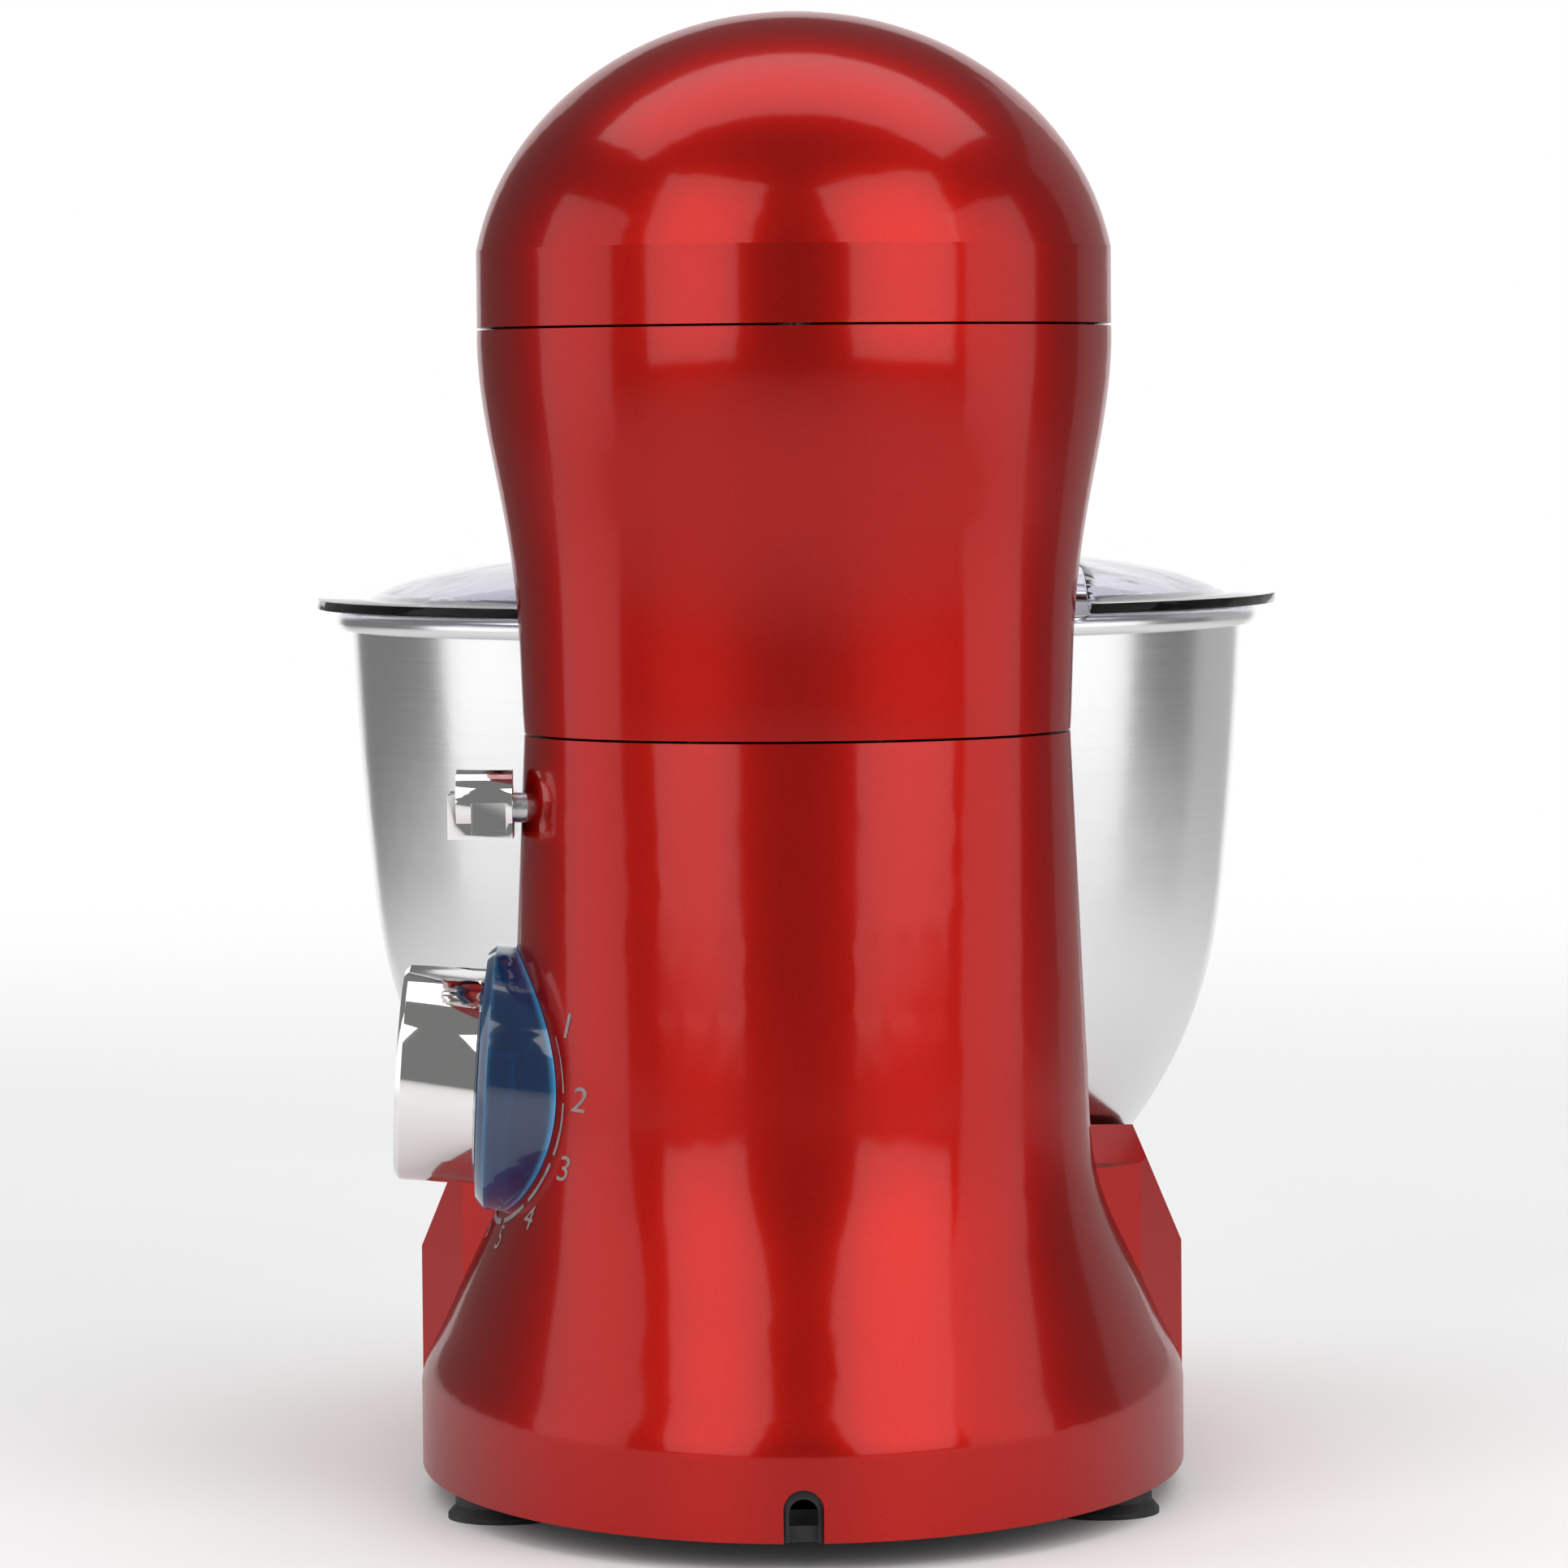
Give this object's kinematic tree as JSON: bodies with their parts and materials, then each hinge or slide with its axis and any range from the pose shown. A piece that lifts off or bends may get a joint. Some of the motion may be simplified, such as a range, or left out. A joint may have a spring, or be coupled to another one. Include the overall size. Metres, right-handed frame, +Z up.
{
  "type": "stand mixer",
  "caption": "Tilt-head stand mixer with a planetary beater, twist-lock steel bowl, clear splash lid, speed knob, release lever and suction feet.",
  "frame": {"origin": "on the table under the middle of the overall length, in the mirror plane of the casing", "axes": "+Z up, the head's nose points to -Y, the speed knob and release lever are on the +X side"},
  "size_m": [0.2406, 0.3601, 0.35],
  "materials": {
    "red_shell": "gloss metallic",
    "dark_plastic": "matt",
    "black_rubber": "matt",
    "belt_rubber": "matt",
    "steel": "machined",
    "cast_alloy": "as cast",
    "nylon": "moulded",
    "grey_hub": "satin",
    "copper": "enamelled wire",
    "circuit_board": "lacquered",
    "stainless": "satin polished",
    "chrome": "mirror",
    "blue_ring": "tinted clear",
    "clear_lid": "tinted clear plastic"
  },
  "bodies": {
    "base": {"base_housing": "red_shell", "bottom_cover": "dark_plastic", "cover_screws": "steel", "suction_foot_rear_right": "black_rubber", "suction_foot_rear_left": "black_rubber", "suction_foot_middle_right": "black_rubber", "suction_foot_middle_left": "black_rubber", "suction_foot_front_right": "black_rubber", "suction_foot_front_left": "black_rubber", "bowl_lock_ring": "dark_plastic", "outlet_sleeve": "black_rubber", "hinge_support": "cast_alloy", "hinge_pin": "steel", "tilt_switch": "dark_plastic", "light_ring": "blue_ring", "speed_switch": "dark_plastic", "speed_board": "circuit_board", "lever_spring": "steel"},
    "head": {"head_housing": "red_shell", "head_cover": "red_shell", "head_screws": "steel", "hinge_bracket": "steel", "latch_striker": "steel", "gear_case": "cast_alloy", "gear_case_lid": "cast_alloy", "ring_gear": "steel", "carrier_bearing": "steel", "pulley_bearing": "steel", "rotor_bearing_low": "steel", "motor_bracket_low": "steel", "motor_bracket_top": "steel", "motor_stack": "steel", "field_coils": "copper", "brush_holders": "dark_plastic", "drive_belt": "belt_rubber", "splash_lid": "clear_lid"},
    "planet_carrier": {"planet_hub": "grey_hub", "carrier_shaft": "steel", "output_gear": "steel"},
    "spindle": {"planet_pinion": "steel", "tool_spindle": "steel", "drive_pin": "steel", "flat_beater": "cast_alloy"},
    "pulley": {"pulley_shaft": "steel", "drive_pinion": "steel", "drive_pulley": "nylon"},
    "rotor": {"rotor_shaft": "steel", "rotor_core": "steel", "commutator": "copper", "motor_pulley": "cast_alloy", "cooling_fan": "nylon"},
    "bowl": {"mixing_bowl": "stainless", "bowl_foot": "stainless"},
    "knob": {"speed_knob": "chrome", "knob_shaft": "steel"},
    "lever": {"release_lever": "chrome", "lever_shaft": "steel", "latch_hook": "steel"}
  },
  "joints": [
    {"name": "head_tilt", "type": "hinge", "parent": "base", "child": "head", "pos_m": [0, 0.132, 0.162], "axis": [-1, 0, 0], "range_deg": [0, 35]},
    {"name": "hub_spin", "type": "hinge", "parent": "head", "child": "planet_carrier", "pos_m": [0, -0.035, 0.212], "axis": [0, 0, 1], "continuous": true},
    {"name": "spindle_spin", "type": "hinge", "parent": "planet_carrier", "child": "spindle", "pos_m": [0, -0.065, 0.2], "axis": [0, 0, 1], "continuous": true},
    {"name": "pulley_spin", "type": "hinge", "parent": "head", "child": "pulley", "pos_m": [0, 0.0125, 0.27], "axis": [0, 0, 1], "continuous": true},
    {"name": "rotor_spin", "type": "hinge", "parent": "head", "child": "rotor", "pos_m": [0, 0.112, 0.25], "axis": [0, 0, 1], "continuous": true},
    {"name": "bowl_turn", "type": "hinge", "parent": "base", "child": "bowl", "pos_m": [0, -0.035, 0.06], "axis": [0, 0, 1], "range_deg": [0, 30]},
    {"name": "knob_turn", "type": "hinge", "parent": "base", "child": "knob", "pos_m": [0, 0.096, 0.0984], "axis": [-0.9981, 0, -0.061], "range_deg": [-25, 160]},
    {"name": "lever_press", "type": "hinge", "parent": "base", "child": "lever", "pos_m": [0, 0.108, 0.1665], "axis": [1, 0, 0], "range_deg": [0, 22], "stiffness_Nm_per_rad": 0.3, "springref_deg": -17.19}
  ],
  "couplings": [
    {"joint": "spindle_spin", "follows": "hub_spin", "ratio": -4},
    {"joint": "pulley_spin", "follows": "hub_spin", "ratio": -3.75},
    {"joint": "rotor_spin", "follows": "hub_spin", "ratio": -15.833}
  ]
}
